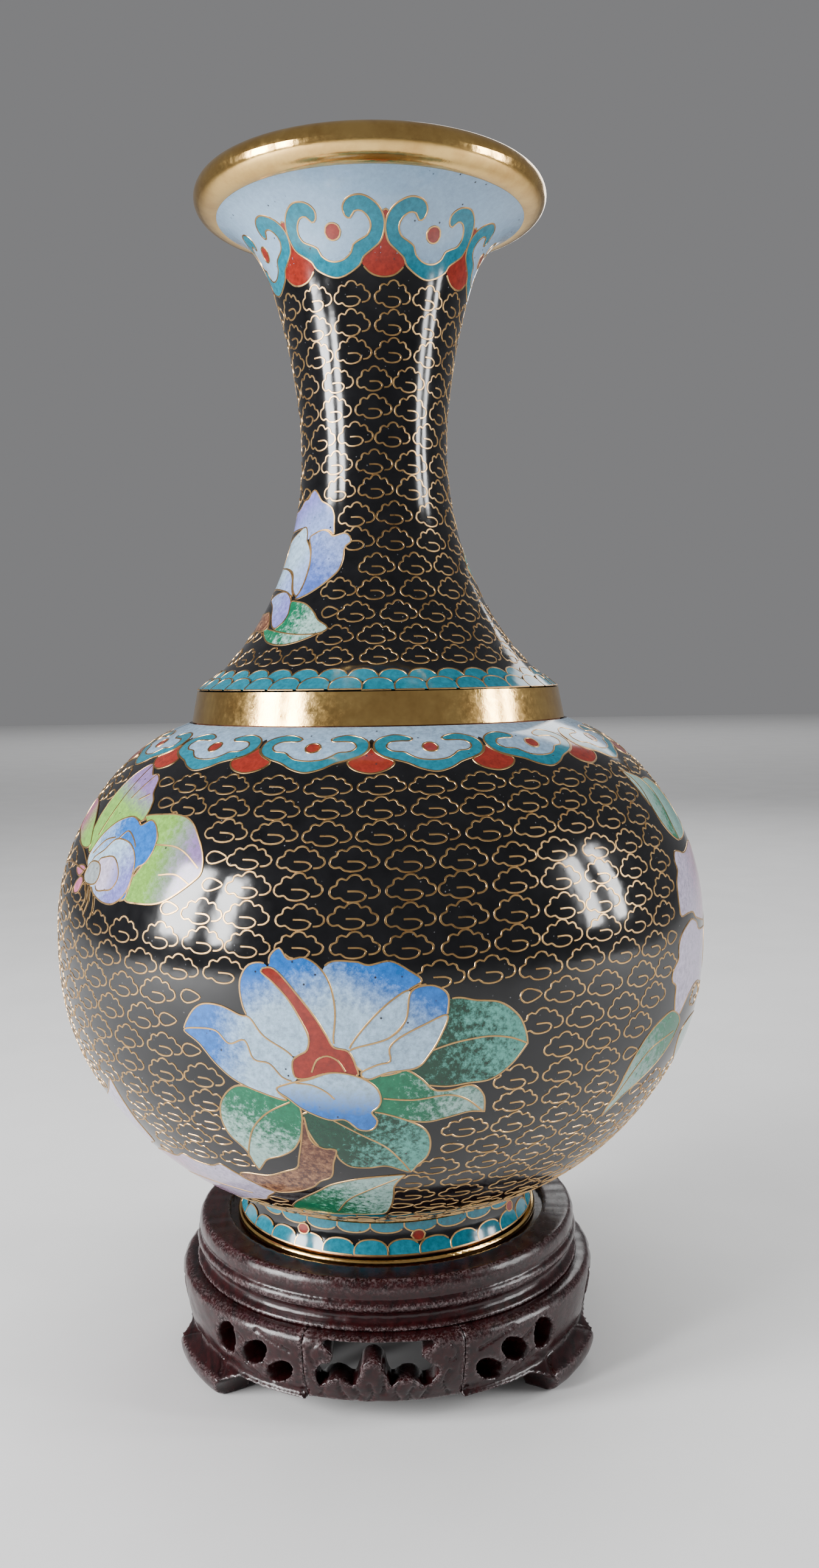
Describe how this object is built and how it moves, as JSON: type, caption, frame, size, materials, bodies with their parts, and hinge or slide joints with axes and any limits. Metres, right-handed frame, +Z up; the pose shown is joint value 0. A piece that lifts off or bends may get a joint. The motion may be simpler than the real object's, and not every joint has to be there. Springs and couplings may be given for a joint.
{
  "type": "cloisonne vase",
  "caption": "Round-bellied enamelled copper vase with flared neck, brass rim, collar and foot rings, standing in the recess of a carved tripod wooden stand it lifts off",
  "frame": {"origin": "bottom centre: on the floor, under the vase's axis", "axes": "+Z up along the vase's axis, the decorated front faces -Y, +X is to the viewer's right"},
  "size_m": [0.1124, 0.1124, 0.2022],
  "materials": {
    "copper": "dull, raw inside the wall",
    "polished_brass": "polished and gilt",
    "black_enamel": "gloss, ground flat with its brass wires",
    "pale_blue_enamel": "gloss",
    "turquoise_enamel": "gloss",
    "lining_enamel": "gloss, plain",
    "dark_hardwood": "dark red-brown satin lacquer"
  },
  "bodies": {
    "stand": {"stand_top_ring": "dark_hardwood", "stand_seat": "dark_hardwood", "leg_front_left": "dark_hardwood", "leg_front_right": "dark_hardwood", "leg_back": "dark_hardwood", "apron_front": "dark_hardwood", "apron_back_left": "dark_hardwood", "apron_back_right": "dark_hardwood"},
    "vase": {"neck_shell": "copper", "belly_upper_shell": "copper", "belly_lower_shell": "copper", "foot_shell": "copper", "base_plate": "copper", "rim_ring": "polished_brass", "collar_ring": "polished_brass", "foot_joint_ring": "polished_brass", "foot_ring": "polished_brass", "neck_enamel": "black_enamel", "rim_border_enamel": "pale_blue_enamel", "scale_band_enamel": "turquoise_enamel", "belly_enamel": "black_enamel", "shoulder_border_enamel": "pale_blue_enamel", "foot_enamel": "black_enamel", "neck_lining": "lining_enamel", "belly_lining": "lining_enamel", "base_lining": "lining_enamel", "base_enamel": "lining_enamel"}
  },
  "joints": [
    {"name": "vase_lift", "type": "slide", "parent": "stand", "child": "vase", "axis": [0, 0, 1], "range_m": [0, 0.03]}
  ]
}
